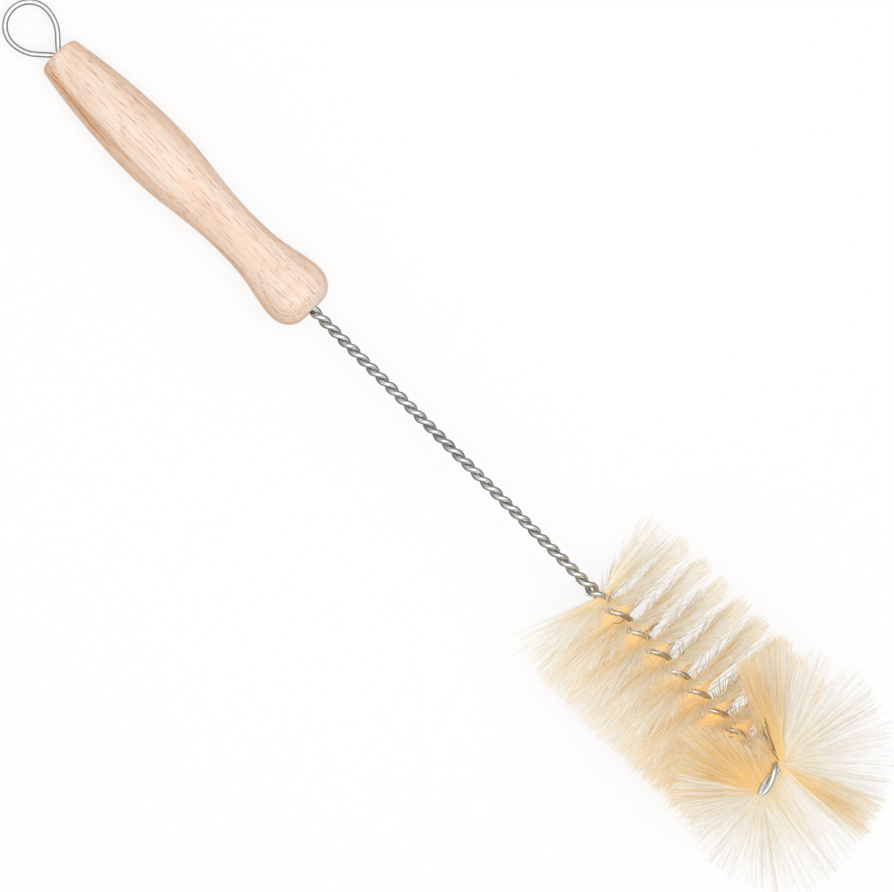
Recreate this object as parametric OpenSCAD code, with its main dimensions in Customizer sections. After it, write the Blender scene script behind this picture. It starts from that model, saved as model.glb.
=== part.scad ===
// A bottle brush: a turned beech handle, one wire folded into a hanging loop and twisted
// together, and natural bristles gripped between the two strands of the wire.
// Millimetres. The brush lies as it comes to rest. The swell of the handle and a small
// flat spot on the bristles touch z = 0, the axis climbs slightly towards the bristles
// along +X, and the bent tip of the wire points up.

/* [Handle] */
// Length of the wooden handle
handle_len = 114.3; // [90:0.1:140]
// Diameter at the loop end
loop_end_d = 14; // [11:0.1:17]
// Radius of the rounded edge at the loop end
edge_r = 2; // [1:0.1:3]
// Diameter of the belly, the thickest place near the loop end
belly_d = 21.7; // [18:0.1:28]
// Distance of the belly from the loop end
belly_at = 43; // [35:0.1:55]
// Diameter of the waist
waist_d = 15.9; // [12:0.1:18]
// Distance of the waist from the loop end
waist_at = 79; // [70:0.1:88]
// Diameter of the bulb at the stem end
bulb_d = 22; // [18:0.1:28]
// Length of the rounded nose beyond the bulb
nose_len = 7.8; // [5:0.1:12]
// Diameter of the flat face at the end of the nose
nose_face_d = 9; // [6:0.1:14]

/* [Wire] */
// Diameter of the wire
wire_d = 1.8; // [1.2:0.05:2.2]
// Length of one full twist on the bare stem
stem_twist = 8.53; // [7:0.01:12]
// Length of one full twist among the bristles
brush_twist = 17.5; // [15:0.1:24]
// Length of the bare stem between the handle and the bristles
stem_len = 127.1; // [80:0.1:180]
// Length of the twisted stem hidden in the end of the handle
stem_hidden = 7.2; // [4:0.1:30]

/* [Hanging loop] */
// Outer width of the loop
loop_w = 17.2; // [14:0.1:24]
// Angle between each leg of the loop and the axis
leg_angle = 42; // [35:1:48]
// Radius of the shoulders between the legs and the round end
shoulder_r = 12; // [8:0.1:14]
// Radius of the tight bend where a leg enters the handle
mouth_r = 1.6; // [1.4:0.1:3]

/* [Bent tip] */
// Radius of the bend that turns the wire up
tip_bend_r = 6; // [5:0.1:9]
// Sideways lean of the upturned wire
tip_lean = 12; // [0:1:15]
// Length of the upright part
tip_rise = 5.5; // [4.5:0.1:8]
// Radius of the hook that turns the wire over
hook_r = 3.6; // [3.2:0.1:5]
// Angle through which the hook turns
hook_angle = 94; // [80:1:110]
// Length of the straight end beyond the hook
hook_tail = 8; // [1:0.1:12]

/* [Bristles] */
// Diameter of the round brush
brush_d = 64; // [48:0.5:80]
// Length of the straight part that carries bristles
brush_len = 70.6; // [55:0.1:110]
// Length of the spread wire before the first bristle
first_gap = 1.5; // [0.5:0.1:4]
// Thickness of the layer of bristles that the strands grip
grip_t = 1.3; // [0.8:0.05:2]
// Distance beyond the middle of a strand where the layer starts to widen
grip_margin = 1.5; // [1.2:0.1:3]
// Thickness of a fin halfway out
fin_mid_t = 2.6; // [1.5:0.1:3.5]
// Thickness of a fin at its rim
fin_rim_t = 4.2; // [2:0.1:5]
// Difference in length between the long and the short tufts
tuft_depth = 3; // [1:0.1:5]
// Diameter of the fan of bristles about the tip
fan_d = 76; // [60:0.5:90]
// Height of the fan where it meets the wire
fan_root_t = 4.4; // [3:0.1:4.6]
// Thickness of the fan at its rim
fan_rim_t = 2; // [1:0.1:3]
// Angle by which the front of the fan rises
fan_front_rise = 4; // [0:1:10]
// Angle by which the fan rises towards the handle
fan_back_rise = 50; // [40:1:60]
// Depth to which the resting bristles are pressed flat
flat_depth = 2.5; // [1:0.1:4]

/* [Clearances] */
// Gap between the two strands of the stem
strand_gap = 0.04; // [0.02:0.01:0.1]
// Gap between a strand and the bristles beside it
grip_gap = 0.06; // [0.03:0.01:0.15]
// Gap between the pair of strands and the bore of the handle
bore_gap = 0.15; // [0.05:0.01:0.3]
// Gap between the fan and the fins under it
fan_gap = 1; // [0.5:0.1:2]

/* [Hidden] */

wire_r = wire_d / 2;
pair_r = wire_r + strand_gap / 2;
bore_r = pair_r + wire_r + bore_gap;
brush_start = handle_len + stem_len;
bulb_at = handle_len - nose_len;
legs_len = handle_len - stem_hidden;

// Facets: sides of the wire, its rings in a full twist, and the degrees between the rings
// of its bends
wire_sides = 8;
stem_rings = 8;
brush_rings = 10;
bend_step = 15;
// Rings of the bristle spiral in a full twist, and tufts around the fan
spiral_rings = 36;
fan_tufts = 48;

function unit(v) = v / norm(v);
function ease(t) = t <= 0 ? 0 : t >= 1 ? 1 : t * t * (3 - 2 * t);
function mix(a, b, t) = a + (b - a) * t;

// ---------------------------------------------------------------- frames along a path
// A frame is [place, forward, side, up]. "toward" is measured from side to up.

function ahead(f, distance) = [f[0] + distance * f[1], f[1], f[2], f[3]];

function turned(f, toward, r, angle) =
    let (inward = cos(toward) * f[2] + sin(toward) * f[3],
         across = cos(toward) * f[3] - sin(toward) * f[2],
         inward_now = cos(angle) * inward - sin(angle) * f[1])
    [f[0] + r * (sin(angle) * f[1] + (1 - cos(angle)) * inward),
     cos(angle) * f[1] + sin(angle) * inward,
     cos(toward) * inward_now - sin(toward) * across,
     sin(toward) * inward_now + cos(toward) * across];

function arc_len(r, angle) = PI * r * angle / 180;

// The line midway between the strands: straight along X, up, and over at the hook.
tip_bend_angle = 90;
bend_start = brush_start + brush_len;
rise_start = bend_start + arc_len(tip_bend_r, tip_bend_angle);
hook_start = rise_start + tip_rise;
tail_start = hook_start + arc_len(hook_r, hook_angle);
wire_end = tail_start + hook_tail;

up_toward = 90 - tip_lean;
over_toward = 180;
axis_frame = [[0, 0, 0], [1, 0, 0], [0, 1, 0], [0, 0, 1]];
bend_frame = ahead(axis_frame, bend_start);
rise_frame = turned(bend_frame, up_toward, tip_bend_r, tip_bend_angle);
hook_frame = ahead(rise_frame, tip_rise);
tail_frame = turned(hook_frame, over_toward, hook_r, hook_angle);

function axis_at(u) =
    u < bend_start ? ahead(axis_frame, u)
    : u < rise_start ? turned(bend_frame, up_toward, tip_bend_r,
                              (u - bend_start) / arc_len(tip_bend_r, 1))
    : u < hook_start ? ahead(rise_frame, u - rise_start)
    : u < tail_start ? turned(hook_frame, over_toward, hook_r,
                              (u - hook_start) / arc_len(hook_r, 1))
    : ahead(tail_frame, u - tail_start);

// ---------------------------------------------------------------- skins
// Wraps rings of equally many points, in order, in one closed surface. The two ends are
// closed like a ladder, point by opposite point.

module skin(rings, closed = false) {
    n = len(rings[0]);
    count = len(rings);
    last = closed ? count - 1 : count - 2;
    sides = [for (i = [0:last], j = [0:n - 1])
        let (a = i * n + j, b = i * n + (j + 1) % n,
             c = (i + 1) % count * n + j, d = (i + 1) % count * n + (j + 1) % n)
        each [[a, c, d], [a, d, b]]];
    ends = closed ? [] : [for (j = [0:n / 2 - 2], end = [0, 1])
        let (base = end * (count - 1) * n,
             a = base + j, b = base + j + 1,
             c = base + n - 2 - j, d = base + n - 1 - j)
        each end == 0 ? [[a, b, c], [a, c, d]] : [[a, c, b], [a, d, c]]];
    polyhedron([for (ring = rings) each ring], concat(sides, ends), convexity = 12);
}

// ---------------------------------------------------------------- handle
// Radius of the turned outline between the rounded edge and the nose: a parabola to the
// belly, a cosine to the waist, and a steeper one up to the bulb.

bulb_growth = 1.55;

function profile_r(x) =
    x < belly_at
    ? mix(belly_d, loop_end_d, pow(1 - x / belly_at, 2)) / 2
    : x < waist_at
    ? mix(belly_d, waist_d, (1 - cos(180 * (x - belly_at) / (waist_at - belly_at))) / 2) / 2
    : mix(waist_d, bulb_d,
          (1 - cos(180 * pow((x - waist_at) / (bulb_at - waist_at), bulb_growth))) / 2) / 2;

edge_centre_r = profile_r(edge_r) - edge_r;
edge_points = [for (a = [0:15:75])
    [edge_centre_r + edge_r * sin(a), edge_r * (1 - cos(a))]];
side_points = [for (i = [0:40])
    let (x = mix(edge_r, bulb_at, i / 40)) [profile_r(x), x]];
nose_points = [for (a = [10:10:90])
    [mix(nose_face_d, bulb_d, cos(a)) / 2, bulb_at + nose_len * sin(a)]];

module handle() {
    color("burlywood")
        lay() rotate([0, 90, 0]) rotate_extrude($fn = 96)
            polygon(concat([[bore_r, 0]], edge_points, side_points, nose_points,
                           [[bore_r, handle_len]]));
}

// ---------------------------------------------------------------- wire
// Both strands turn about the line midway between them, left-handed. They lie side by
// side in the handle, touch along the stem, and are held apart by the bristles.

grip_r = wire_r + grip_t / 2 + grip_gap;
spread_run = 4;

function twist(u) =
    -360 * (max(0, min(u, brush_start) - legs_len) / stem_twist
            + max(0, u - brush_start) / brush_twist);
function strand_r(u) =
    mix(pair_r, grip_r, ease((u - brush_start) / spread_run + 1)
                        - ease((u - hook_start) / spread_run));
function outward(u, side) =
    let (f = axis_at(u), a = twist(u) + side) cos(a) * f[2] + sin(a) * f[3];
function strand_at(u, side) = axis_at(u)[0] + strand_r(u) * outward(u, side);

// A step of the wire is [place, forward, outward].
function strand_step(u, side, way) =
    let (near = 0.05,
         forward = way * unit(strand_at(u + near, side) - strand_at(u - near, side)),
         out = outward(u, side))
    [strand_at(u, side), forward, unit(out - (out * forward) * forward)];

strand_stops = concat(
    [0, legs_len],
    [for (i = [1:floor((brush_start - legs_len) / stem_twist * stem_rings)])
        legs_len + i * stem_twist / stem_rings],
    [for (i = [1:ceil((wire_end - brush_start) / brush_twist * brush_rings)])
        min(wire_end, brush_start + i * brush_twist / brush_rings)]);

strand_count = len(strand_stops);
first_strand = [for (i = [1:strand_count])
    strand_step(strand_stops[strand_count - i], 0, -1)];
second_strand = [for (u = strand_stops) strand_step(u, 180, 1)];

loop_r = (loop_w - wire_d) / 2;
leg_len = (loop_r - pair_r - (mouth_r + shoulder_r) * (1 - cos(leg_angle))) / sin(leg_angle);

// The loop, walked from one leg to the other. A move is [length, toward, radius, angle].
outside = 0;
inside = 180;
loop_moves = [[outside, mouth_r, leg_angle], [leg_len], [inside, shoulder_r, leg_angle],
              [inside, loop_r, 180], [inside, shoulder_r, leg_angle], [leg_len],
              [outside, mouth_r, leg_angle]];
loop_start = [[0, pair_r, 0], [-1, 0, 0], [0, 1, 0], [0, 0, -1]];

function after(f, move) =
    len(move) == 1 ? ahead(f, move[0]) : turned(f, move[0], move[1], move[2]);
function steps_of(f, move) =
    len(move) == 1
    ? [ahead(f, move[0])]
    : let (n = ceil(move[2] / bend_step))
      [for (i = [1:n]) turned(f, move[0], move[1], move[2] * i / n)];
function walk(f, moves, i = 0) =
    i == len(moves) ? [] : concat(steps_of(f, moves[i]), walk(after(f, moves[i]), moves, i + 1));

loop_steps = walk(loop_start, loop_moves);
inner_loop_steps = [for (i = [0:len(loop_steps) - 2]) loop_steps[i]];

function wire_ring(step) =
    let (across = cross(step[1], step[2]))
    [for (j = [0:wire_sides - 1])
        let (a = 360 * (j + 0.5) / wire_sides)
        step[0] + wire_r * (cos(a) * step[2] + sin(a) * across)];

module wire() {
    color("silver")
        lay() skin([for (step = concat(first_strand, inner_loop_steps, second_strand))
            wire_ring(step)]);
}

// ---------------------------------------------------------------- bristle fan
// The fan's bristles stand out all round from the upright wire. It rises gently in front
// and steeply over the fins behind it.

fan_hole_r = grip_r + wire_r + grip_gap;
fan_mid_share = 0.45;
fan_centre = axis_at(rise_start + tip_rise / 2)[0];
fan_up = [0, sin(tip_lean), cos(tip_lean)];
fan_side = [0, cos(tip_lean), -sin(tip_lean)];

function fan_rise(azimuth) =
    mix(fan_front_rise, fan_back_rise, pow((1 - cos(azimuth)) / 2, 2));
function fan_reach(azimuth) = fan_d / 2 * cos(fan_rise(azimuth)) / cos(fan_front_rise);
function fan_place(azimuth, reach, above) =
    fan_centre + reach * (cos(azimuth) * [1, 0, 0] + sin(azimuth) * fan_side) + above * fan_up;
function fan_point(azimuth, reach, above) =
    fan_place(azimuth, reach, (reach - fan_hole_r) * tan(fan_rise(azimuth)) + above);

function fan_section(azimuth, tuft) =
    let (rim = fan_reach(azimuth) - tuft * tuft_depth,
         middle = mix(fan_hole_r, rim, fan_mid_share),
         middle_t = mix(fan_root_t, fan_rim_t, fan_mid_share) / (1 + tuft / 2),
         rim_t = fan_rim_t / (1 + tuft))
    [fan_place(azimuth, fan_hole_r, -fan_root_t / 2),
     fan_point(azimuth, middle, -middle_t / 2),
     fan_point(azimuth, rim, -rim_t / 2),
     fan_point(azimuth, rim, rim_t / 2),
     fan_point(azimuth, middle, middle_t / 2),
     fan_place(azimuth, fan_hole_r, fan_root_t / 2)];

module bristle_tip() {
    color("wheat")
        lay() skin([for (i = [0:2 * fan_tufts - 1])
            [for (p = fan_section(180 * i / fan_tufts, i % 2)) on_ground(p)]], closed = true);
}

// ---------------------------------------------------------------- bristle spiral
// One strip of bristles from rim to rim through the gap between the strands, square to
// them, so it turns with the twist and makes a double spiral of fins.

strip_start = brush_start + first_gap;
strip_end = mix(bend_start, rise_start, 0.6);
strip_core = grip_r + grip_margin;
turn_rate = 2 * PI / brush_twist;

// Longest fin in a direction, before it meets the underside of the fan or the inner side
// of the bend.
search_step = 1;

function under_fan(p) =
    let (d = p - fan_centre, x = d[0], y = d * fan_side, rise = fan_rise(atan2(y, x)))
    (norm([x, y]) - fan_hole_r) * sin(rise) - d * fan_up * cos(rise)
    > (fan_root_t + fin_rim_t) / 2 + fan_gap;
function free_reach(f, direction, reach) =
    reach <= strip_core + 1 || under_fan(f[0] + reach * direction)
    ? max(reach, strip_core + 1)
    : free_reach(f, direction, reach - search_step);

function strip_point(f, angle, reach, thickness, face) =
    let (direction = cos(angle) * f[2] + sin(angle) * f[3],
         across = cos(angle) * f[3] - sin(angle) * f[2],
         normal = unit(across + turn_rate * reach * f[1]))
    on_ground(f[0] + reach * direction + face * thickness / 2 * normal);

function strip_ring(u, tuft) =
    let (f = axis_at(u),
         angle = twist(u) + 90,
         direction = cos(angle) * f[2] + sin(angle) * f[3],
         full = brush_d / 2 - tuft * tuft_depth,
         plus = free_reach(f, direction, full),
         minus = free_reach(f, -direction, full),
         mid_t = fin_mid_t / (1 + tuft / 3),
         rim_t = fin_rim_t / (1 + tuft),
         across = [[-minus, rim_t], [mix(-strip_core, -minus, 0.5), mid_t], [-strip_core, grip_t],
                   [strip_core, grip_t], [mix(strip_core, plus, 0.5), mid_t], [plus, rim_t]],
         n = len(across))
    concat([for (i = [0:n - 1]) strip_point(f, angle, across[i][0], across[i][1], 1)],
           [for (i = [1:n]) strip_point(f, angle, across[n - i][0], across[n - i][1], -1)]);

strip_count = ceil((strip_end - strip_start) / brush_twist * spiral_rings);

module bristle_spiral() {
    color("moccasin")
        lay() skin([for (i = [0:strip_count])
            strip_ring(mix(strip_start, strip_end, i / strip_count), i % 2)]);
}

// ---------------------------------------------------------------- lying at rest
// The ground passes through the near end of the pressed bristles and touches the handle
// where its outline, a parabola there, has the ground's own slope.

pressed = [brush_start, brush_d / 2 - flat_depth];
belly_fall = (belly_d - loop_end_d) / 2;
reach_ratio = (pressed[0] - belly_at) / belly_at;
touch_share = sqrt(pow(reach_ratio, 2) + (pressed[1] - belly_d / 2) / belly_fall) - reach_ratio;
touch_x = max(edge_r, belly_at * (1 - touch_share));
slope = atan2(pressed[1] - profile_r(touch_x), pressed[0] - touch_x);
axis_height = (profile_r(touch_x) - touch_x * tan(slope)) * cos(slope);

function height(p) = axis_height + p[0] * sin(slope) + p[2] * cos(slope);
function on_ground(p) =
    let (h = height(p)) h < 0 ? p + h * [-sin(slope), 0, -cos(slope)] : p;

// Places the brush, built along the X axis, on the ground with its middle at the origin.
loop_centre = (mouth_r + shoulder_r) * sin(leg_angle) + leg_len * cos(leg_angle);
loop_end_x = -loop_centre - loop_r - wire_r;
front = fan_point(0, fan_d / 2, -fan_rim_t / 2);
side_y = [for (azimuth = [-90, 90]) fan_point(azimuth, fan_reach(azimuth), 0)[1]];
min_x = loop_end_x * cos(slope);
max_x = front[0] * cos(slope) - front[2] * sin(slope);

module lay() {
    translate([-(min_x + max_x) / 2, -(side_y[0] + side_y[1]) / 2, axis_height])
        rotate([0, -slope, 0])
            children();
}

handle();
wire();
bristle_spiral();
bristle_tip();
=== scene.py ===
"""A bottle brush: a turned beech handle, one galvanised wire that is folded into a hanging
loop and twisted together, and natural bristles gripped between its two strands.

Everything is in metres, in the frame of the part. Each piece is first worked out along the
brush's own axis, which starts at the loop end of the handle and runs along X, and is then
laid on the ground as the part is."""

import math

import bmesh
import bpy
import numpy as np
from mathutils import Matrix, Vector

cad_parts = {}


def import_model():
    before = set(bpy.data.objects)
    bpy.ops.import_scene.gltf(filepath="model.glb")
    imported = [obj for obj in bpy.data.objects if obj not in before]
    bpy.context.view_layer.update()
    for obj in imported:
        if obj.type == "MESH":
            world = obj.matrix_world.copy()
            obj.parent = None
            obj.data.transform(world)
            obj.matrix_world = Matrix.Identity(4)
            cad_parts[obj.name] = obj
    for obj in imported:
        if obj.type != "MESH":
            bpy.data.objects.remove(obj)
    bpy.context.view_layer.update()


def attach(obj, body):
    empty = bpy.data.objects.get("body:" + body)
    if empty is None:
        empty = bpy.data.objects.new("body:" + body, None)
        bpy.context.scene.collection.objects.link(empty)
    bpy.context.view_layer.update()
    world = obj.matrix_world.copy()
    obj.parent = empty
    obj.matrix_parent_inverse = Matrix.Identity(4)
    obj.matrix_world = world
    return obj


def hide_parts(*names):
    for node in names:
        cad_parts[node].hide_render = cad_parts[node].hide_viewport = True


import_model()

# ------------------------------------------------------------------ sizes of the brush

handle_len = 0.1143
loop_end_d = 0.014
edge_r = 0.002
belly_d = 0.0217
belly_at = 0.043
waist_d = 0.0159
waist_at = 0.079
bulb_d = 0.022
bulb_growth = 1.55
nose_len = 0.0078
nose_face_d = 0.009

wire_d = 0.0018
stem_twist = 0.00853
brush_twist = 0.0175
stem_len = 0.1271
stem_hidden = 0.0072

loop_w = 0.0172
leg_angle = math.radians(42)
shoulder_r = 0.012
mouth_r = 0.0016

tip_bend_r = 0.006
tip_lean = math.radians(12)
tip_rise = 0.0055
hook_r = 0.0036
hook_angle = math.radians(94)
hook_tail = 0.008

brush_d = 0.064
brush_len = 0.0706
first_gap = 0.0015
grip_t = 0.0013
spread_run = 0.004
fan_d = 0.076
fan_rim_t = 0.002
fan_front_rise = math.radians(4)
fan_back_rise = math.radians(50)
flat_depth = 0.0025

strand_gap = 0.00004
grip_gap = 0.00006
bore_gap = 0.00015

wire_r = wire_d / 2
pair_r = wire_r + strand_gap / 2
grip_r = wire_r + grip_t / 2 + grip_gap
bore_r = pair_r + wire_r + bore_gap
brush_start = handle_len + stem_len
bulb_at = handle_len - nose_len
legs_len = handle_len - stem_hidden


def unit(v):
    return v / np.linalg.norm(v, axis=-1, keepdims=True)


def mix(a, b, t):
    return a + (b - a) * t


def ease(t):
    """From 0 to 1, smooth at both ends."""
    t = np.clip(t, 0, 1)
    return t * t * (3 - 2 * t)


def column(values):
    """Values with one more axis, to multiply vectors by."""
    return np.asarray(values, float)[..., None]


# ------------------------------------------------------------------ frames along the wire
# A frame is (place, forward, side, up). "toward" is measured from side to up.


def ahead(f, distance):
    """The frame, moved straight on."""
    place, forward, side, up = f
    return place + column(distance) * forward, forward, side, up


def turned(f, toward, radius, angle):
    """The frame, moved round an arc and turned with it."""
    place, forward, side, up = f
    inward = math.cos(toward) * side + math.sin(toward) * up
    across = math.cos(toward) * up - math.sin(toward) * side
    c, s = column(np.cos(angle)), column(np.sin(angle))
    inward_now = c * inward - s * forward
    return (
        place + radius * (s * forward + (1 - c) * inward),
        c * forward + s * inward,
        math.cos(toward) * inward_now - math.sin(toward) * across,
        math.sin(toward) * inward_now + math.cos(toward) * across,
    )


quarter = math.pi / 2
bend_start = brush_start + brush_len
rise_start = bend_start + tip_bend_r * quarter
hook_start = rise_start + tip_rise
tail_start = hook_start + hook_r * hook_angle
wire_end = tail_start + hook_tail

up_toward = quarter - tip_lean
over_toward = math.pi
start_frame = (np.zeros(3), *np.eye(3))
bend_frame = ahead(start_frame, bend_start)
rise_frame = turned(bend_frame, up_toward, tip_bend_r, quarter)
hook_frame = ahead(rise_frame, tip_rise)
tail_frame = turned(hook_frame, over_toward, hook_r, hook_angle)


def axis_at(u):
    """Frames on the line midway between the strands: straight, up, and over at the hook."""
    stretches = [
        (u < bend_start, ahead(start_frame, u)),
        (u < rise_start, turned(bend_frame, up_toward, tip_bend_r, (u - bend_start) / tip_bend_r)),
        (u < hook_start, ahead(rise_frame, u - rise_start)),
        (u < tail_start, turned(hook_frame, over_toward, hook_r, (u - hook_start) / hook_r)),
        (u >= tail_start, ahead(tail_frame, u - tail_start)),
    ]
    masks = [column(mask) > 0 for mask, _ in stretches]
    shape = (len(u), 3)
    return [
        np.select(masks, [np.broadcast_to(f[i], shape) for _, f in stretches])
        for i in range(4)
    ]


def twist(u):
    """Turn of the strands about that line. The twist is left-handed."""
    in_stem = np.maximum(0, np.minimum(u, brush_start) - legs_len) / stem_twist
    in_brush = np.maximum(0, u - brush_start) / brush_twist
    return -2 * math.pi * (in_stem + in_brush)


def around(f, angle):
    """Directions square to the axis, at an angle from side to up."""
    return column(np.cos(angle)) * f[2] + column(np.sin(angle)) * f[3]


# ------------------------------------------------------------------ fan about the tip
# Its bristles stand out all round from the upright wire, gently raised in front and steeply
# towards the handle.

fan_hole_r = grip_r + wire_r + grip_gap
fan_centre = ahead(rise_frame, tip_rise / 2)[0]
fan_up = np.array([0, math.sin(tip_lean), math.cos(tip_lean)])
fan_side = np.array([0, math.cos(tip_lean), -math.sin(tip_lean)])
forward = np.array([1.0, 0, 0])


def fan_rise(azimuth):
    """How steeply the top of the fan climbs."""
    return mix(fan_front_rise, fan_back_rise, ((1 - np.cos(azimuth)) / 2) ** 2)


def fan_reach(azimuth):
    """How far the rim stands out: all round, bristles are about as long."""
    return fan_d / 2 * np.cos(fan_rise(azimuth)) / math.cos(fan_front_rise)


def fan_point(azimuth, reach, above):
    out = column(np.cos(azimuth)) * forward + column(np.sin(azimuth)) * fan_side
    height = (reach - fan_hole_r) * np.tan(fan_rise(azimuth)) + above
    return fan_centre + column(reach) * out + column(height) * fan_up


# ------------------------------------------------------------------ lying at rest
# The swell of the handle and the pressed bristles touch the ground.

pressed_low = brush_d / 2 - flat_depth
belly_fall = (belly_d - loop_end_d) / 2
reach_ratio = (brush_start - belly_at) / belly_at
touch_share = math.sqrt(reach_ratio**2 + (pressed_low - belly_d / 2) / belly_fall) - reach_ratio
touch_x = belly_at * (1 - touch_share)
touch_r = belly_d / 2 - belly_fall * touch_share**2
slope = math.atan2(pressed_low - touch_r, brush_start - touch_x)
axis_height = (touch_r - touch_x * math.tan(slope)) * math.cos(slope)

loop_r = (loop_w - wire_d) / 2
leg_width = loop_r - pair_r - (mouth_r + shoulder_r) * (1 - math.cos(leg_angle))
leg_len = leg_width / math.sin(leg_angle)
loop_centre = (mouth_r + shoulder_r) * math.sin(leg_angle) + leg_len * math.cos(leg_angle)
loop_end_x = -loop_centre - loop_r - wire_r
fan_front = fan_point(0.0, fan_d / 2, -fan_rim_t / 2)
fan_sides = [fan_point(a, fan_reach(a), 0.0)[1] for a in (-quarter, quarter)]
low_x = loop_end_x * math.cos(slope)
high_x = fan_front[0] * math.cos(slope) - fan_front[2] * math.sin(slope)

lay_place = Vector((-(low_x + high_x) / 2, -sum(fan_sides) / 2, axis_height))
lay = Matrix.Translation(lay_place) @ Matrix.Rotation(-slope, 4, "Y")
lay_turn = np.array(lay.to_3x3())


def laid(points):
    """Points of the brush's own axis, on the ground."""
    return points @ lay_turn.T + np.array(lay_place)


# ------------------------------------------------------------------ making pieces


def add_piece(name, mesh, finish, node):
    """A finished piece with its finish, put under the root body in place of a node of the part,
    whose own object is hidden.
    """
    piece = bpy.data.objects.new(name, mesh)
    bpy.context.scene.collection.objects.link(piece)
    mesh.materials.clear()
    mesh.materials.append(finish)
    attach(piece, "root")
    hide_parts(node)
    return piece


def shade_smooth(mesh):
    mesh.polygons.foreach_set("use_smooth", np.ones(len(mesh.polygons), bool))


def mesh_from(name, bm):
    """A mesh of what was modelled, which is then let go."""
    mesh = bpy.data.meshes.new(name)
    bm.to_mesh(mesh)
    bm.free()
    return mesh


# ------------------------------------------------------------------ materials


def tone(red, green, blue):
    """A colour written as it looks on a screen, 0 to 255, turned into light."""
    shares = [c / 255 for c in (red, green, blue)]
    light = [s / 12.92 if s <= 0.04045 else ((s + 0.055) / 1.055) ** 2.4 for s in shares]
    return (*light, 1.0)


class Field:
    """An output of a node in a material. Arithmetic on it adds Math nodes."""

    def __init__(self, tree, socket=None):
        self.tree = tree
        self.socket = socket

    def node(self, kind, settings=None, values=None, out=0):
        """Adds a node: its settings are set first, then the values or links of its inputs."""
        made = self.tree.nodes.new("ShaderNode" + kind)
        for name, value in (settings or {}).items():
            if name == "stops":
                ramp = made.color_ramp.elements
                while len(ramp) < len(value):
                    ramp.new(1.0)
                for stop, (place, colour) in zip(ramp, value):
                    stop.position = place
                    stop.color = colour
            else:
                setattr(made, name, value)
        for name, value in (values or {}).items():
            if isinstance(value, Field):
                self.tree.links.new(value.socket, made.inputs[name])
            else:
                made.inputs[name].default_value = value
        return Field(self.tree, made.outputs[out])

    def math(self, operation, a, b=0.0):
        return self.node("Math", {"operation": operation}, {0: a, 1: b})

    def __add__(self, other):
        return self.math("ADD", self, other)

    def __radd__(self, other):
        return self.math("ADD", other, self)

    def __sub__(self, other):
        return self.math("SUBTRACT", self, other)

    def __rsub__(self, other):
        return self.math("SUBTRACT", other, self)

    def __mul__(self, other):
        return self.math("MULTIPLY", self, other)

    def __rmul__(self, other):
        return self.math("MULTIPLY", other, self)

    def above(self, low, high):
        """0 below low, 1 above high, and smooth in between."""
        return self.node(
            "MapRange",
            {"interpolation_type": "SMOOTHSTEP"},
            {"Value": self, "From Min": low, "From Max": high},
        )

    def ramp(self, *stops):
        """A colour that changes along stops of (place, colour)."""
        return self.node("ValToRGB", {"stops": stops}, {"Fac": self})

    def blend(self, first, second):
        """A colour from first to second, by this field."""
        return self.node(
            "Mix", {"data_type": "RGBA"}, {"Factor": self, 6: first, 7: second}, out=2
        )


def new_material(name):
    """An empty material. Its first field starts the nodes, and its shader takes values."""
    material = bpy.data.materials.new(name)
    material.use_nodes = True
    tree = material.node_tree
    shader = tree.nodes["Principled BSDF"]
    return material, Field(tree), shader


def feed(field, shader, socket):
    """Lets a field give a socket of the shader its value."""
    field.tree.links.new(field.socket, shader.inputs[socket])


def beside(tree, first, second, share):
    """Mixes a share of a second shader with the first one, and makes that the output."""
    both = tree.nodes.new("ShaderNodeMixShader")
    if isinstance(share, Field):
        tree.links.new(share.socket, both.inputs[0])
    else:
        both.inputs[0].default_value = share
    tree.links.new(first, both.inputs[1])
    tree.links.new(second.socket, both.inputs[2])
    tree.links.new(both.outputs[0], tree.nodes["Material Output"].inputs["Surface"])
    return both.outputs[0]


def brush_coordinates(start):
    """Object coordinates turned back onto the brush's own axis."""
    where = start.node("TexCoord", out=3)
    return start.node(
        "Mapping",
        {"vector_type": "TEXTURE"},
        {"Vector": where, "Location": tuple(lay_place), "Rotation": (0, -slope, 0)},
    )


def stretched(where, length, width, depth):
    """Coordinates for a pattern of this length along the axis, and this width and depth."""
    return where.node(
        "VectorMath",
        {"operation": "MULTIPLY"},
        {0: where, 1: (1 / length, 1 / width, 1 / depth)},
    )


def noise(where, detail=2.0, roughness=0.5, scale=1.0):
    return where.node(
        "TexNoise",
        {},
        {"Vector": where, "Scale": scale, "Detail": detail, "Roughness": roughness},
    )


vein_turn = math.radians(40)
vein_ends = (0.02, 0.042)
vein_sides = (0.0005, 0.0026)
vein_waver = 0.0008
side_from = (0.0055, 0.0075)


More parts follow.
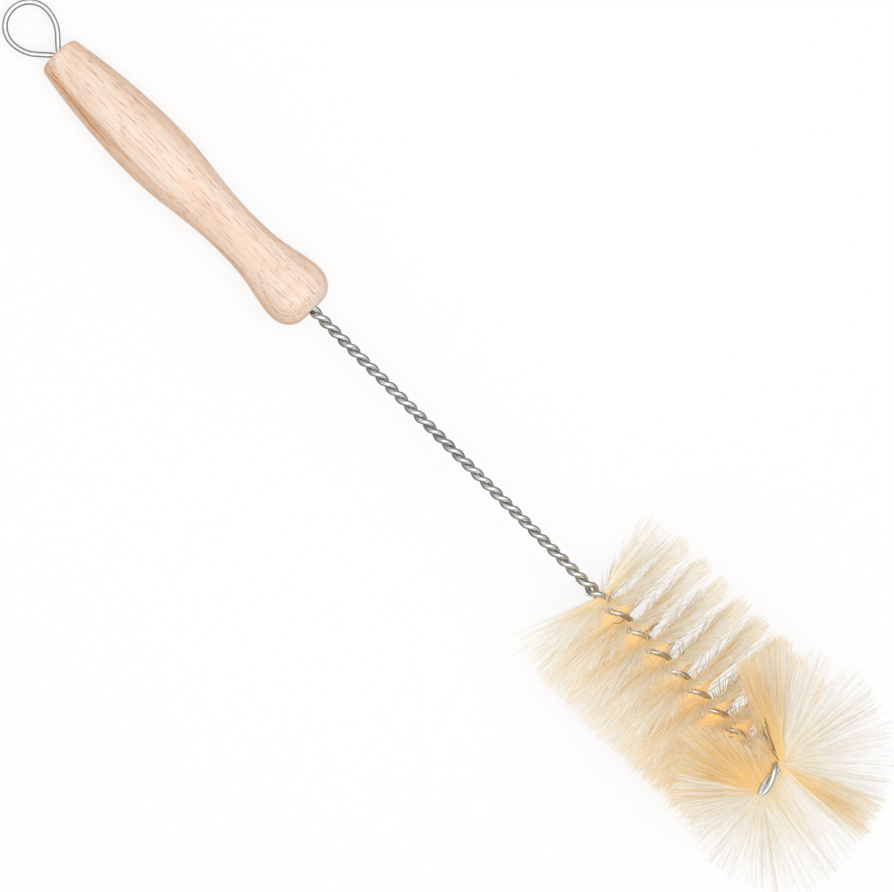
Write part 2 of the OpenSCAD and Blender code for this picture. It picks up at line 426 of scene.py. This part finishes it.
def beech():
    """Pale steamed beech, sanded: broad bands, fine fibres, short dark flecks, and an
    orange-brown vein that runs in from the loop end. The fibres are thin across the wood
    as seen from above, and thin from top to bottom where it is seen from a side."""
    material, start, shader = new_material("beech")
    where = brush_coordinates(start)
    x, y, z = (start.node("SeparateXYZ", {}, {"Vector": where}, out=i) for i in range(3))
    bands = noise(stretched(where, 0.09, 0.007, 0.007), 2)
    rings = noise(stretched(where, 0.15, 0.02, 0.0014), 1)
    grain = noise(stretched(where, 0.04, 0.0014, 0.006), 2, 0.6)
    at_side = y.math("ABSOLUTE", y).above(*side_from)
    seen_above = noise(stretched(where, 0.02, 0.00028, 0.003), 2, 0.6)
    seen_aside = noise(stretched(where, 0.02, 0.003, 0.00028), 2, 0.6)
    fibres = seen_above + at_side * (seen_aside - seen_above)
    flecks = noise(stretched(where, 0.006, 0.00022, 0.0006), 1, 0.4)

    base = bands.above(0.35, 0.7).blend(tone(245, 225, 209), tone(240, 209, 184))
    ringed = (rings.above(0.46, 0.56) * 0.33).blend(base, tone(236, 198, 164))
    grained = (grain.above(0.5, 0.66) * 0.3).blend(ringed, tone(230, 188, 152))
    # The fibres are grain, drawn stronger on the sides, where they also paint shade on the flanks.
    fibre = (fibres.above(0.52, 0.62) * (0.44 + at_side * 0.24)).blend(grained, tone(206, 156, 118))
    plain = (flecks.above(0.66, 0.69) * 0.6).blend(fibre, tone(150, 90, 50))

    off_vein = y * math.sin(vein_turn) + z * math.cos(vein_turn) + (grain - 0.5) * vein_waver
    beside_vein = off_vein.math("ABSOLUTE", off_vein)
    vein = (1 - beside_vein.above(*vein_sides)) * (1 - x.above(*vein_ends))
    tinted = (vein * 0.7).blend(plain, tone(240, 188, 136))
    done = (vein * fibres.above(0.47, 0.55) * 0.85).blend(tinted, tone(158, 94, 52))
    feed(done, shader, "Base Color")
    feed(0.42 + fibres * 0.16, shader, "Roughness")
    relief = start.node("Bump", {}, {"Strength": 0.12, "Distance": 0.0001, "Height": fibres})
    feed(relief, shader, "Normal")
    return material


drawn_lines = (11, 40, 1)


def galvanised():
    """Bright zinc coat, drawn in fine lines along the wire, which has its own map for them."""
    material, start, shader = new_material("galvanised_wire")
    mottle = noise(stretched(brush_coordinates(start), 0.0012, 0.0008, 0.0008), 3, 0.6)
    on_wire = start.node("UVMap", {"uv_map": "UVMap"})
    along_lines = start.node("VectorMath", {"operation": "MULTIPLY"}, {0: on_wire, 1: drawn_lines})
    lines = noise(along_lines, 2, 0.6)
    colour = mottle.above(0.35, 0.7).blend(tone(226, 226, 224), tone(206, 206, 203))
    drawn = (lines.above(0.48, 0.58) * 0.7).blend(colour, tone(124, 124, 122))
    feed(drawn, shader, "Base Color")
    feed(0.22 + mottle * 0.14, shader, "Roughness")
    shader.inputs["Metallic"].default_value = 1.0
    relief = start.node("Bump", {}, {"Strength": 0.2, "Distance": 0.00005, "Height": lines})
    feed(relief, shader, "Normal")
    return material


# Colours of the kinds of bristle, each at its share of the length from the wire to the tip.
# The brown and grey kinds are partly the bristles' own spread of colour and partly painted
# shade; golden_glow is a colour of their painted glow.
bristle_tones = {
    "deep": (
        (0.0, tone(240, 223, 177)),
        (0.4, tone(240, 222, 175)),
        (0.7, tone(239, 222, 180)),
        (1.0, tone(240, 229, 206)),
    ),
    "golden": (
        (0.0, tone(240, 224, 178)),
        (0.2, tone(240, 225, 183)),
        (0.5, tone(239, 229, 208)),
        (0.75, tone(239, 235, 228)),
        (1.0, tone(239, 239, 238)),
    ),
    "white": (
        (0.0, tone(242, 235, 218)),
        (0.2, tone(242, 240, 234)),
        (0.6, tone(241, 241, 240)),
        (1.0, tone(243, 243, 243)),
    ),
    "brown": (
        (0.0, tone(223, 200, 156)),
        (0.5, tone(216, 199, 168)),
        (1.0, tone(210, 204, 195)),
    ),
    "grey": (
        (0.0, tone(226, 210, 178)),
        (0.4, tone(216, 209, 197)),
        (1.0, tone(200, 198, 194)),
    ),
    "golden_glow": (
        (0.0, tone(222, 207, 170)),
        (0.3, tone(189, 176, 148)),
        (0.6, tone(143, 139, 133)),
        (1.0, tone(128, 131, 136)),
    ),
}
# Dark brown of short dark bristles: a few among the fins, more in their last turn, and in the slit
# of the fan, where they are a painted shadow.
dark_tone = tone(150, 104, 52)
white_glow = tone(136, 135, 132)
dull_glow = tone(20, 18, 15)
kinds_across = 40.0
passed_share = 0.55
unshadowed_share = 0.92


def light_through(start, colour):
    """Light that passes through a bristle of this colour: shares of golden, white and dark."""
    golden, white = tone(240, 222, 172), tone(243, 243, 243)
    red, blue = (start.node("SeparateColor", {}, {"Color": colour}, out=i) for i in (0, 2))
    white_share = (blue - golden[2]) * (1 / (white[2] - golden[2]))
    dark_share = (golden[0] - red) * (1 / (golden[0] - dark_tone[0]))
    lights = [start.node("BsdfTranslucent", {}, {"Color": c}) for c in (golden, white, dark_tone)]
    pale = beside(start.tree, lights[0].socket, lights[1], white_share)
    return Field(start.tree, beside(start.tree, pale, lights[2], dark_share))


def bristle_hair(name, glow_strength):
    """Natural bristle, golden where it is gripped and paler towards its tip.

    It reads the bristles' own map, along each bristle and across from dark and golden to
    white ones. A bristle lets light through, so one casts a weak shadow on the next, and
    the light that it catches from the others is painted in as a faint glow, which on golden
    bristles is strongest by the wire."""
    material, start, shader = new_material(name)
    uv = start.node("UVMap", {"uv_map": bristle_map})
    along = start.node("SeparateXYZ", {}, {"Vector": uv}, out=0)
    row = start.node("SeparateXYZ", {}, {"Vector": uv}, out=1)
    tones = {kind: along.ramp(*stops) for kind, stops in bristle_tones.items()}
    kinds = start.node(
        "TexNoise", {"noise_dimensions": "1D"}, {"W": row, "Scale": kinds_across, "Detail": 1.0}
    )
    warm = row.above(0.08, 0.35).blend(tones["deep"], tones["golden"])
    mild = row.above(0.3, 0.76).blend(warm, tones["white"])
    # Dull brown and grey bristles: partly their own colour, partly painted shade standing in for
    # the shadows that bristles hardly cast on one another.
    dull_and_shaded = row.above(0.4, 0.8).blend(tones["brown"], tones["grey"])
    mixed = ((1 - kinds.above(0.36, 0.46)) * (0.15 + row * 0.4)).blend(mild, dull_and_shaded)
    # Row 0 is dark brown, which in the slit of the fan is a painted shadow.
    done = row.above(0.02, 0.04).blend(dark_tone, mixed)
    feed(done, shader, "Base Color")
    even_glow = row.above(0.4, 0.9).blend(tones["golden_glow"], white_glow)
    glow = (kinds.above(0.35, 0.65) * 0.7).blend(even_glow, dull_glow)
    feed(glow, shader, "Emission Color")
    shader.inputs["Emission Strength"].default_value = glow_strength
    shader.inputs["Roughness"].default_value = 0.4
    both = beside(start.tree, shader.outputs[0], light_through(start, done), passed_share)
    clear = start.node("BsdfTransparent")
    shadow_ray = start.node("LightPath", out=1)
    beside(start.tree, both, clear, shadow_ray * unshadowed_share)
    return material


# ------------------------------------------------------------------ handle


def outline_r(x):
    """Radius of the turned outline between the rounded edge and the nose."""
    if x < belly_at:
        return belly_d / 2 - belly_fall * (1 - x / belly_at) ** 2
    if x < waist_at:
        share = (x - belly_at) / (waist_at - belly_at)
        return mix(belly_d, waist_d, (1 - math.cos(math.pi * share)) / 2) / 2
    share = ((x - waist_at) / (bulb_at - waist_at)) ** bulb_growth
    return mix(waist_d, bulb_d, (1 - math.cos(math.pi * share)) / 2) / 2


def handle_outline():
    """Points (x, radius) from the bore at the loop end, over the outside, to the bore."""
    edge_centre_r = outline_r(edge_r) - edge_r
    edge_steps = 8
    side_steps = 64
    nose_steps = 14
    edge = [
        (edge_r * (1 - math.cos(a)), edge_centre_r + edge_r * math.sin(a))
        for a in (quarter * i / edge_steps for i in range(edge_steps))
    ]
    side_stops = [mix(edge_r, bulb_at, i / side_steps) for i in range(side_steps + 1)]
    side = [(x, outline_r(x)) for x in side_stops]
    nose = [
        (bulb_at + nose_len * math.sin(a), mix(nose_face_d, bulb_d, math.cos(a)) / 2)
        for a in (quarter * i / nose_steps for i in range(1, nose_steps + 1))
    ]
    return [(0, bore_r)] + edge + side + nose + [(handle_len, bore_r)]


def handle():
    """The outline spun about the axis."""
    bm = bmesh.new()
    points = [bm.verts.new((x, 0, r)) for x, r in handle_outline()]
    edges = [bm.edges.new(pair) for pair in zip(points, points[1:] + points[:1])]
    bmesh.ops.spin(
        bm,
        geom=points + edges,
        cent=(0, 0, 0),
        axis=(1, 0, 0),
        angle=2 * math.pi,
        steps=96,
        use_merge=True,
        use_duplicate=False,
    )
    bmesh.ops.recalc_face_normals(bm, faces=bm.faces)
    bmesh.ops.transform(bm, matrix=lay, verts=bm.verts)
    mesh = mesh_from("turned_handle", bm)
    shade_smooth(mesh)
    mesh.set_sharp_from_angle(angle=math.radians(35))
    return add_piece("turned_handle", mesh, beech(), "handle")


# ------------------------------------------------------------------ wire

wire_sides = 14
points_per_twist = 24
arc_step = math.radians(5)


def strand(stops, side):
    """Middle line of a strand, side 0 or half a turn."""
    f = axis_at(stops)
    spread = ease((stops - brush_start) / spread_run + 1) - ease((stops - hook_start) / spread_run)
    return f[0] + column(mix(pair_r, grip_r, spread)) * around(f, twist(stops) + side)


def strand_stops():
    stem_count = int((brush_start - legs_len) / stem_twist * points_per_twist)
    brush_count = int((wire_end - brush_start) / brush_twist * points_per_twist * 1.5)
    return np.concatenate(
        [
            [0],
            np.linspace(legs_len, brush_start, stem_count, endpoint=False),
            np.linspace(brush_start, wire_end, brush_count),
        ]
    )


def hanging_loop():
    """Points from one leg, round the loop and back to the other leg."""
    outside, inside = 0, math.pi
    moves = [
        (outside, mouth_r, leg_angle),
        (leg_len,),
        (inside, shoulder_r, leg_angle),
        (inside, loop_r, math.pi),
        (inside, shoulder_r, leg_angle),
        (leg_len,),
        (outside, mouth_r, leg_angle),
    ]
    back, left, down = np.array([[-1.0, 0, 0], [0, 1, 0], [0, 0, -1]])
    f = (pair_r * left, back, left, down)
    points = []
    for move in moves:
        if len(move) == 1:
            f = ahead(f, move[0])
            points.append(f[0])
            continue
        toward, radius, angle = move
        count = math.ceil(angle / arc_step)
        points += [turned(f, toward, radius, angle * i / count)[0] for i in range(1, count + 1)]
        f = turned(f, toward, radius, angle)
    return np.array(points[:-1])


def wire():
    """The two strands and the loop between them, as one bevelled line."""
    stops = strand_stops()
    route = np.concatenate([strand(stops, 0)[::-1], hanging_loop(), strand(stops, math.pi)])
    line = bpy.data.curves.new("folded_wire", "CURVE")
    line.dimensions = "3D"
    line.bevel_depth = wire_r
    line.bevel_resolution = wire_sides // 2 - 2
    line.use_fill_caps = True
    spline = line.splines.new("POLY")
    spline.points.add(len(route) - 1)
    spline.points.foreach_set("co", np.c_[laid(route), np.ones(len(route))].ravel())
    holder = bpy.data.objects.new("folded_wire", line)
    mesh = bpy.data.meshes.new_from_object(holder)
    bpy.data.objects.remove(holder)
    bm = bmesh.new()
    bm.from_mesh(mesh)
    bmesh.ops.remove_doubles(bm, verts=bm.verts, dist=1e-7)
    bmesh.ops.recalc_face_normals(bm, faces=bm.faces)
    mesh = mesh_from("folded_wire", bm)
    shade_smooth(mesh)
    mesh.set_sharp_from_angle(angle=math.radians(60))
    return add_piece("folded_wire", mesh, galvanised(), "wire")


# ------------------------------------------------------------------ bristles
# A bristle is a thin three-sided rod with a blunt tip. Its shape is made once and set along
# every line. The export keeps a map of the name given here and bakes through it, so each
# bristle has a strip of that map to itself as far as its colour goes.

bristle_map = "OFBake"
bristle_rings = 3
bristle_sides = 3
bristle_taper = (1.0, 1.0, 0.8, 0.6)
bristle_r = 0.00013
bristle_r_range = (0.7, 1.25)
bend_share = 0.02
over_ground = (0.0001, 0.0012)
map_margin = 0.01
map_row_width = 0.006
map_corner_shift = 0.004


def one_bristle():
    """The shape: its corners as (corner, corner, share of length), and its faces."""
    bm = bmesh.new()
    bmesh.ops.create_cone(bm, cap_ends=True, segments=bristle_sides, radius1=1, radius2=1, depth=1)
    bmesh.ops.translate(bm, vec=(0, 0, 0.5), verts=bm.verts)
    for i in range(1, bristle_rings):
        everything = bm.verts[:] + bm.edges[:] + bm.faces[:]
        cut = (0, 0, i / bristle_rings)
        bmesh.ops.bisect_plane(bm, geom=everything, plane_co=cut, plane_no=(0, 0, 1))
    bmesh.ops.triangulate(bm, faces=bm.faces)
    bmesh.ops.recalc_face_normals(bm, faces=bm.faces)
    bm.verts.index_update()
    corners = np.array([v.co for v in bm.verts])
    faces = np.array([[v.index for v in f.verts] for f in bm.faces])
    bm.free()
    return corners, faces


def set_along(lines, radii, corners, draws):
    """The corners of every bristle, about its line and turned any way round it."""
    ring = np.rint(corners[:, 2] * bristle_rings).astype(int)
    tangent = unit(np.gradient(lines, axis=1))
    anywhere = unit(draws.normal(size=(len(lines), 1, 3)))
    across = unit(np.cross(tangent, anywhere))
    over = np.cross(tangent, across)
    wide = column(column(radii)) * column(bristle_taper)
    return (
        lines[:, ring]
        + corners[None, :, :1] * (wide * across)[:, ring]
        + corners[None, :, 1:2] * (wide * over)[:, ring]
    )


def places_on_map(corners, rows):
    """Each bristle is a narrow strip of the map: along it, and in a row of its own colour."""
    number = np.rint(np.arctan2(corners[:, 1], corners[:, 0]) / (2 * math.pi / bristle_sides))
    number %= bristle_sides
    row_share = np.array([0, 1, 0.5])[number.astype(int)]
    map_along = map_margin + (1 - 4 * map_margin) * corners[:, 2] + map_corner_shift * number
    map_row = rows[:, None] * (1 - map_row_width) + map_row_width * row_share[None]
    return np.stack([np.broadcast_to(map_along, map_row.shape), map_row], axis=-1)


def bristles(name, lines, rows, draws, finish, node):
    """Sets the one bristle along each line: lines (n, rings + 1, 3), rows (n,)."""
    corners, faces = one_bristle()
    count = len(lines)
    radii = bristle_r * draws.uniform(*bristle_r_range, count)
    spots = set_along(lines, radii, corners, draws)
    every_face = (faces[None] + len(corners) * np.arange(count)[:, None, None]).reshape(-1, 3)
    mesh = bpy.data.meshes.new(name)
    mesh.vertices.add(count * len(corners))
    mesh.vertices.foreach_set("co", spots.ravel())
    mesh.loops.add(every_face.size)
    mesh.loops.foreach_set("vertex_index", every_face.ravel())
    mesh.polygons.add(len(every_face))
    mesh.polygons.foreach_set("loop_start", np.arange(0, every_face.size, 3))
    layer = mesh.uv_layers.new(name=bristle_map)
    on_map = places_on_map(corners, rows).reshape(-1, 2)
    layer.data.foreach_set("uv", on_map[every_face.ravel()].ravel())
    mesh.update(calc_edges=True)
    mesh.shade_flat()
    return add_piece(name, mesh, finish, node)


def bristle_lines(roots, ways, lengths, bends):
    """Points along bristles: straight ways that bend off sideways towards their tips."""
    t = np.linspace(0, 1, bristle_rings + 1)[None, :, None]
    reach = column(column(lengths))
    return roots[:, None] + reach * (t * ways[:, None] + t * t * bends[:, None])


def off_ground(lines, draws):
    """Lays bristles on the ground, some a little over others."""
    over = draws.uniform(*over_ground, size=lines.shape[:1] + (1,))
    lines[..., 2] = np.maximum(lines[..., 2], over)
    return lines


def trimmed(tuft, deepest, draws):
    """Shares of the full length: tufts differ a little, and a few bristles fall short."""
    by_tuft = draws.uniform(0.96, 1.01, tuft.max() + 1)[tuft]
    return by_tuft * (1.01 - deepest * draws.random(len(tuft)) ** 3)


# ------------------------------------------------------------------ double spiral of fins
# Bristles come in tufts, which lean a little along the wire. Seen from above, those of the
# left side are gathered into fins, and those of the right side have worked loose. They
# spread out at the start of the head, and stand more loosely in its last turn.

spiral_count = 4300
spiral_pieces = 3
tuft_pitch = 0.0003
tuft_layers = 3
tuft_turn = math.radians(2)
axial_lean = math.radians(2.6)
loose_lean = math.radians(1.5)
loosened = 2.4
gathered_share = 0.5
stray_share = 0.05
stray_lean = math.radians(8)
end_run = 0.004
end_lean = math.radians(5)
last_turn = bend_start - 0.015
last_run = 0.003
last_spread = 1.8

# Colour rows run from 0, dark brown, by golden ones to 1, white.
least_row = 0.06
middle_row = 0.42
golden_row = 0.04
row_spread = 0.22
golden_from = bend_start - 0.038
golden_run = 0.03
dark_shares = (0.005, 0.05)
dark_length = 0.4
dark_bend = 7

spread_back_rise = math.radians(33)
under_fan_gap = 0.003
shortest = 0.008


def spread_rise(azimuth):
    """How steeply a bristle of the fan climbs: little in front, more towards the handle."""
    return mix(fan_front_rise, spread_back_rise, ((1 - np.cos(azimuth)) / 2) ** 2)


def under_fan(points):
    """How far points lie below the underside of the fan, less the gap that is left there."""
    d = points - fan_centre
    x, y, z = d[..., 0], d @ fan_side, d @ fan_up
    rise = spread_rise(np.arctan2(y, x))
    return (np.hypot(x, y) - fan_hole_r) * np.sin(rise) - z * np.cos(rise) - under_fan_gap


def places_in_tufts(draws):
    """Stops along the wire, the side of the wire (0 or 1), and the number of the tuft."""
    start = brush_start + first_gap
    end = mix(bend_start, rise_start, 0.6)
    u = draws.uniform(start, end, spiral_count)
    side = draws.integers(0, 2, spiral_count)
    cell = ((u - start) / tuft_pitch).astype(int) * 2 + side
    return u, side, cell * tuft_layers + draws.integers(0, tuft_layers, spiral_count)


def leans_along_wire(angle, tuft, end_share, last_share, draws):
    """Lean of each bristle along the wire, and which ones stray."""
    count = len(angle)
    on_right = ease(0.5 - np.cos(angle))
    on_left = ease(np.cos(angle) * 3)
    loose = (1 + loosened * on_right) * (1 - 0.5 * ease(np.sin(angle)))
    by_tuft = draws.uniform(-axial_lean, axial_lean, tuft.max() + 1)[tuft]
    lean = (by_tuft + draws.normal(0, loose_lean, count)) * loose * (1 + last_spread * last_share)
    off_centre = -np.arctan2(np.sin(angle), np.cos(angle)) / (2 * math.pi) * brush_twist
    lean -= gathered_share * on_left * (1 - last_share) * off_centre / (brush_d / 2)
    stray = draws.random(count) < stray_share
    lean = np.where(stray, draws.normal(0, stray_lean, count), lean)
    sideways = draws.normal(0, end_lean, count)
    spread = (1 - on_right) * 1.3 * sideways - on_right * 2.2 * np.abs(sideways)
    return lean + end_share * spread, stray


def kept_under_fan(roots, ways, lengths):
    """Lengths of bristles that stop short of the fan."""
    for _ in range(25):
        blocked = under_fan(roots + column(lengths) * ways) < 0
        lengths = np.where(blocked & (lengths > shortest), lengths * 0.93, lengths)
    return lengths


def spiral_rows(u, stray, end_share, last_share, draws):
    """Colour rows, golden towards the fan, and which bristles are short dark ones."""
    golden_share = ease((u - golden_from) / golden_run)
    rows = draws.normal(mix(middle_row, golden_row, golden_share), row_spread, len(u))
    rows = np.clip(rows + stray * 0.3 + end_share * 0.3, least_row, 1)
    dark = draws.random(len(u)) < mix(*dark_shares, last_share)
    rows[dark] = 0
    return rows, dark


def spiral_bristles(number, draws, finish):
    """One third of the double spiral of fins."""
    u, side, tuft = places_in_tufts(draws)
    count = len(u)
    turn = draws.normal(0, tuft_turn, tuft.max() + 1)[tuft] + draws.normal(0, tuft_turn, count)
    angle = twist(u) + quarter + math.pi * side
    end_share = np.clip(1 - (u - brush_start - first_gap) / end_run, 0, 1)
    last_share = ease((u - last_turn) / last_run)
    lean, stray = leans_along_wire(angle, tuft, end_share, last_share, draws)
    lengths = brush_d / 2 * trimmed(tuft, 0.12, draws)
    f = axis_at(u)
    pressed = column(np.sin(angle + turn) * (1 - 0.7 * end_share))
    flat = unit(column(np.cos(angle + turn)) * f[2] + pressed * f[3])
    ways = column(np.cos(lean)) * flat + column(np.sin(lean)) * f[1]
    gripped_at = draws.uniform(-0.5, 0.5, count) * grip_t
    roots = f[0] + column(gripped_at) * around(f, angle + quarter)
    lengths = kept_under_fan(roots, ways, lengths)
    rows, dark = spiral_rows(u, stray, end_share, last_share, draws)
    lengths[dark] *= dark_length
    bends = draws.normal(0, bend_share, (count, 3)) * np.where(dark, dark_bend, 1)[:, None]
    lines = off_ground(laid(bristle_lines(roots, ways, lengths, bends)), draws)
    return bristles(f"bristle_fins_{number}", lines, rows, draws, finish, "bristle_spiral")


# ------------------------------------------------------------------ sheets of the fan
# Each sheet: where it starts and ends round the tip, in degrees from the front towards the
# left, how many bristles it has, how white they are, and how much more they rise. The last
# one is a slit of short dark bristles between two sheets: a painted shadow, where the one
# sheet steps down below the other.

fan_sheets = [
    (20, 140, 480, 1.0, 0.0),
    (30, 139, 70, 0.8, 3.0),
    (139, 156, 270, 0.28, 3.0),
    (150, 168, 380, 0.02, 3.0),
    (171, 240, 700, 0.02, -2.0),
    (225, 366, 560, 0.95, 0.0),
    (3, 30, 300, 0.32, 0.0),
    # Painted shadow: short dark bristles in the step between the two sheets beside it.
    (166, 170, 30, 0.0, 8.0),
]
sheet_spread = 0.24
spread_r = 0.0378
spread_middle = fan_centre + np.array([0.0027, -0.001, 0])
fan_tuft_width = math.radians(2.4)
most_gathered = 0.6
tip_scatter = math.radians(1.2)
tip_scatter_up = 0.0022
front_at = 0.2
front_width = 0.5
front_cut = 0.12
cut_over_wire = (0.62, 0.8)
shadow_slit_reach = 0.5

# Where bristles lie over the wire, and where they leave it at the end of the hook: the start
# and the stop, each with the degrees in which it changes.
over_wire = ((165, 6), (190, 14))
from_hook_end = ((172, 30), (330, 24))


def within(azimuth, start, stop):
    """1 between start and stop, and 0 outside them."""
    begun, over = (
        ease((azimuth - math.radians(at)) / math.radians(run)) for at, run in (start, stop)
    )
    return begun * (1 - over)


def in_sheets(draws):
    """Azimuth at the wire, colour row and further rise of every bristle of the fan."""
    azimuth, rows, lift = [], [], []
    for first, last, count, white, rise in fan_sheets:
        azimuth.append(draws.uniform(math.radians(first), math.radians(last), count))
        rows.append(np.clip(draws.normal(white, sheet_spread, count), least_row, 1) * (white > 0))
        lift.append(np.full(count, math.radians(rise)))
    return map(np.concatenate, (azimuth, rows, lift))


def fan_roots(azimuth, draws):
    """Where the bristles of the fan leave the wire: some high on the upright part, and
    those on the far side of the hook from its very end."""
    to_end = within(np.mod(azimuth, 2 * math.pi), *from_hook_end)
    high = ahead(rise_frame, tip_rise + hook_r * 0.6)[0] + np.array([0, 0.0012, 0])
    end = ahead(tail_frame, hook_tail * 0.9)[0] - np.array([0, 0, 0.0012])
    spread = draws.normal(0, 1, (len(azimuth), 3)) * np.array([0.0004, 0.0006, 0.0006])
    in_front = column(ease(np.cos(azimuth))) * np.array([0.0002, -0.0018, 0.0004])
    return mix(high + in_front, end, column(to_end)) + spread


def sheet_reach(azimuth, short, rows, draws):
    """How far from the middle bristles end: less in front, and much less where they would
    cover the wire. The dark ones, which paint the shadow in the slit, are half as long."""
    off_front = np.mod(azimuth + math.pi, 2 * math.pi) - math.pi - front_at
    in_front = np.exp(-(off_front**2) / front_width**2)
    cut = draws.uniform(*cut_over_wire, len(azimuth)) * within(azimuth, *over_wire)
    reach = spread_r * short * (1 - front_cut * in_front) * (1 - cut)
    return reach * np.where(rows > 0, 1, shadow_slit_reach)


def fan_bristles(draws, finish):
    """The fan about the upturned tip, sheet by sheet and gathered in tufts."""
    azimuth, rows, lift = in_sheets(draws)
    count = len(azimuth)
    tuft = np.floor(azimuth / fan_tuft_width).astype(int)
    gather = draws.uniform(0.0, most_gathered, tuft.max() + 1)[tuft]
    centre = (tuft + 0.5) * fan_tuft_width
    azimuth_tip = mix(azimuth, centre, gather) + draws.normal(0, tip_scatter, count)
    short = trimmed(tuft, 0.25, draws)
    reach = sheet_reach(azimuth_tip, short, rows, draws)
    above = draws.normal(0, tip_scatter_up, count)
    climb = reach * np.tan(spread_rise(azimuth_tip) + lift) + above
    out = column(np.cos(azimuth_tip)) * forward + column(np.sin(azimuth_tip)) * fan_side
    tips = spread_middle + column(reach) * out + column(climb) * fan_up
    roots = fan_roots(azimuth, draws)
    ways = tips - roots
    lengths = np.linalg.norm(ways, axis=1)
    bends = draws.normal(0, bend_share, (count, 3))
    lines = off_ground(laid(bristle_lines(roots, unit(ways), lengths, bends)), draws)
    return bristles("bristle_fan", lines, rows, draws, finish, "bristle_tip")


# ------------------------------------------------------------------ floor, light and camera


def floor():
    """Pale floor that turns white to the camera, keeps the shadow, and is dim in the wire."""
    bm = bmesh.new()
    bmesh.ops.create_grid(bm, x_segments=1, y_segments=1, size=3)
    mesh = mesh_from("floor", bm)
    plane = bpy.data.objects.new("floor", mesh)
    bpy.context.scene.collection.objects.link(plane)
    material, start, shader = new_material("floor")
    shader.inputs["Base Color"].default_value = tone(250, 250, 250)
    shader.inputs["Roughness"].default_value = 0.9
    shader.inputs["Specular IOR Level"].default_value = 0.0
    mesh.materials.append(material)
    camera_ray = start.node("LightPath", out=0)
    glow = start.node("Emission", {}, {"Color": (1, 1, 1, 1), "Strength": 1.0})
    dim = start.node("BsdfDiffuse", {}, {"Color": tone(150, 150, 150)})
    glossy_ray = start.node("LightPath", out=3)
    lit = beside(start.tree, shader.outputs[0], glow, camera_ray * 0.75)
    beside(start.tree, lit, dim, glossy_ray)


even_light = 0.66
dome_edge = (0.15, 0.6)


def world():
    """White to the camera, brighter overhead than low down in reflections, and an even soft
    light elsewhere."""
    sky = bpy.data.worlds.new("studio")
    bpy.context.scene.world = sky
    sky.use_nodes = True
    tree = sky.node_tree
    background = tree.nodes["Background"]
    start = Field(tree)
    camera_ray = start.node("LightPath", out=0)
    glossy_ray = start.node("LightPath", out=3)
    through_ray = start.node("LightPath", out=6)
    height = start.node("SeparateXYZ", {}, {"Vector": start.node("TexCoord", out=0)}, out=2)
    dome = height.above(*dome_edge) * 0.8 - 0.3
    strength = even_light + (camera_ray + through_ray) * (1 - even_light) + glossy_ray * dome
    tree.links.new(strength.socket, background.inputs["Strength"])
    background.inputs["Color"].default_value = (1, 1, 1, 1)


def softbox(name, place, size, power):
    """A square lamp that faces the middle of the brush."""
    light = bpy.data.lights.new(name, "AREA")
    light.shape = "SQUARE"
    light.size = size
    light.energy = power
    lamp = bpy.data.objects.new(name, light)
    lamp.location = place
    lamp.rotation_euler = (-Vector(place)).to_track_quat("-Z", "Y").to_euler()
    bpy.context.scene.collection.objects.link(lamp)


def camera():
    """Looks straight down on the brush's axis, which crosses the picture corner to corner."""
    picture_w = 894
    axis_px_per_metre = 3155
    frame_w = picture_w / axis_px_per_metre
    view_height = 1.0
    middle = 0.17497
    above_x = 0.15
    beside_axis = -0.00047
    data = bpy.data.cameras.new("camera")
    data.sensor_width = 36
    data.lens = view_height / frame_w * data.sensor_width
    data.shift_x = (middle - above_x) * math.sqrt(0.5) / frame_w
    data.shift_y = -data.shift_x
    eye = bpy.data.objects.new("camera", data)
    bpy.context.scene.collection.objects.link(eye)
    corner = Matrix.Rotation(math.radians(45), 4, "Z")
    eye.matrix_world = lay @ Matrix.Translation((above_x, beside_axis, view_height)) @ corner
    bpy.context.scene.camera = eye


# ------------------------------------------------------------------ the brush, laid out

bpy.context.scene.view_settings.view_transform = "Standard"

handle()
wire()
draws = np.random.default_rng(7)
# The fins get a stronger painted glow than the fan, which lies more open to the light.
fin_hair = bristle_hair("fin_bristle", 0.72)
fan_hair = bristle_hair("fan_bristle", 0.3)
for number in range(1, spiral_pieces + 1):
    spiral_bristles(number, draws, fin_hair)
fan_bristles(draws, fan_hair)

floor()
world()
softbox("key", (0.0, 0.05, 1.1), 0.8, 5.5)
camera()
